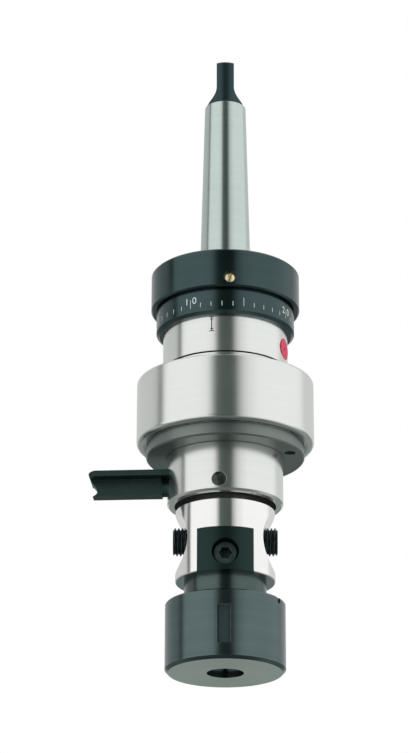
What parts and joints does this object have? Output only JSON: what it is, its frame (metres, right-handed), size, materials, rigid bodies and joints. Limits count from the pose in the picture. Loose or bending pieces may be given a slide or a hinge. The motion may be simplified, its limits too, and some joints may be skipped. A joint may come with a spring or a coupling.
{
  "type": "reversing tapping head",
  "caption": "Tapping head with a Morse taper shank, adjustable slipping clutch, planetary reverse held by a stop arm, floating spindle and collet nut.",
  "frame": {"origin": "on the axis at the gauge plane of the Morse taper", "axes": "+Z along the axis towards the tang, -Y towards the front, where the front clamp screw shows; the stop arm points to -X"},
  "size_m": [0.0783, 0.062, 0.2284],
  "materials": {
    "bright_steel": "ground and polished",
    "black_steel": "black oxide, satin",
    "gear_steel": "machined, oiled",
    "hard_steel": "hardened and ground",
    "spring_steel": "spring temper",
    "screw_steel": "plain steel",
    "brass": "turned",
    "bronze": "turned",
    "friction_lining": "lined",
    "red_plastic": "glossy red",
    "rubber": "moulded"
  },
  "bodies": {
    "drive_housing": {"shank": "bright_steel", "upper_sleeve": "bright_steel", "joint_screws": "screw_steel", "red_plug": "red_plastic", "sleeve_snap_ring": "spring_steel", "disc_springs": "spring_steel", "pressure_plate": "gear_steel", "clutch_plates": "spring_steel", "driver_bush": "bronze", "body_shell": "bright_steel", "ring_gear": "gear_steel", "bearing_outer_ring": "hard_steel", "bearing_clip": "spring_steel", "cover_ring": "bright_steel", "cover_seal": "rubber"},
    "torque_ring": {"adjusting_ring": "black_steel", "scale_ring": "black_steel"},
    "lock_screw": {"lock_screw": "brass"},
    "pressure_ring": {"pressure_ring": "gear_steel"},
    "driver": {"driver": "gear_steel", "friction_discs": "friction_lining", "driver_clip": "spring_steel"},
    "spindle": {"spindle": "bright_steel", "collet_holder": "black_steel", "float_spring": "spring_steel"},
    "stud_left": {"holder_stud_left": "black_steel"},
    "stud_right": {"holder_stud_right": "black_steel"},
    "clamp_front": {"tap_clamp_front": "black_steel"},
    "clamp_back": {"tap_clamp_back": "black_steel"},
    "collet": {"collet": "hard_steel"},
    "collet_nut": {"collet_nut": "black_steel"},
    "stop_carrier": {"stop_sleeve": "bright_steel", "set_screw": "screw_steel", "stop_bush": "bronze", "wiper_ring": "rubber", "stop_arm": "black_steel", "arm_stud": "black_steel", "planet_carrier": "gear_steel", "planet_pins": "hard_steel", "sun_bush": "bronze", "bearing_inner_ring": "hard_steel", "bearing_balls": "hard_steel"},
    "sun": {"sun_gear": "gear_steel"},
    "planet_1": {"planet_gear_1": "gear_steel"},
    "planet_2": {"planet_gear_2": "gear_steel"},
    "planet_3": {"planet_gear_3": "gear_steel"}
  },
  "joints": [
    {"name": "torque_setting", "type": "hinge", "parent": "drive_housing", "child": "torque_ring", "pos_m": [0, 0, -0.0152], "axis": [0, 0, 1], "range_deg": [-162, 108]},
    {"name": "lock_screw_turn", "type": "hinge", "parent": "torque_ring", "child": "lock_screw", "pos_m": [0.00155, -0.02395, -0.0188], "axis": [0.0645, -0.9979, 0], "range_deg": [-360, 0]},
    {"name": "spring_load", "type": "slide", "parent": "drive_housing", "child": "pressure_ring", "axis": [0, 0, 1], "range_m": [-0.00068, 0.00045], "deforming": ["disc_springs"]},
    {"name": "clutch_slip", "type": "hinge", "parent": "drive_housing", "child": "driver", "pos_m": [0, 0, -0.0424], "axis": [0, 0, 1], "continuous": true},
    {"name": "spindle_float", "type": "slide", "parent": "driver", "child": "spindle", "axis": [0, 0, 1], "range_m": [-0.008, 0.002], "deforming": ["float_spring"]},
    {"name": "stud_left_screw", "type": "slide", "parent": "spindle", "child": "stud_left", "axis": [-1, 0, 0], "range_m": [0, 0.002]},
    {"name": "stud_right_screw", "type": "slide", "parent": "spindle", "child": "stud_right", "axis": [1, 0, 0], "range_m": [0, 0.002]},
    {"name": "clamp_front_screw", "type": "slide", "parent": "spindle", "child": "clamp_front", "axis": [0, -1, 0], "range_m": [-0.0025, 0]},
    {"name": "clamp_back_screw", "type": "slide", "parent": "spindle", "child": "clamp_back", "axis": [0, 1, 0], "range_m": [-0.0025, 0]},
    {"name": "collet_draw", "type": "slide", "parent": "spindle", "child": "collet", "axis": [0, 0, 1], "range_m": [-0.003, 0]},
    {"name": "nut_turn", "type": "hinge", "parent": "collet", "child": "collet_nut", "pos_m": [0, 0, -0.1414], "axis": [0, 0, 1], "range_deg": [-720, 0]},
    {"name": "stop_turn", "type": "hinge", "parent": "drive_housing", "child": "stop_carrier", "pos_m": [0, 0, -0.0824], "axis": [0, 0, 1], "continuous": true},
    {"name": "sun_turn", "type": "hinge", "parent": "drive_housing", "child": "sun", "pos_m": [0, 0, -0.059], "axis": [0, 0, 1], "continuous": true},
    {"name": "planet_1_turn", "type": "hinge", "parent": "stop_carrier", "child": "planet_1", "pos_m": [0, 0.0168, -0.059], "axis": [0, 0, 1], "continuous": true},
    {"name": "planet_2_turn", "type": "hinge", "parent": "stop_carrier", "child": "planet_2", "pos_m": [-0.01455, -0.0084, -0.059], "axis": [0, 0, 1], "continuous": true},
    {"name": "planet_3_turn", "type": "hinge", "parent": "stop_carrier", "child": "planet_3", "pos_m": [0.01455, -0.0084, -0.059], "axis": [0, 0, 1], "continuous": true}
  ],
  "couplings": [
    {"joint": "torque_setting", "follows": "spring_load", "rad_per_m": 4188.8},
    {"joint": "nut_turn", "follows": "collet_draw", "rad_per_m": 4188.8},
    {"joint": "sun_turn", "follows": "stop_turn", "ratio": 2.8},
    {"joint": "planet_1_turn", "follows": "stop_turn", "ratio": -4.5},
    {"joint": "planet_2_turn", "follows": "stop_turn", "ratio": -4.5},
    {"joint": "planet_3_turn", "follows": "stop_turn", "ratio": -4.5}
  ]
}
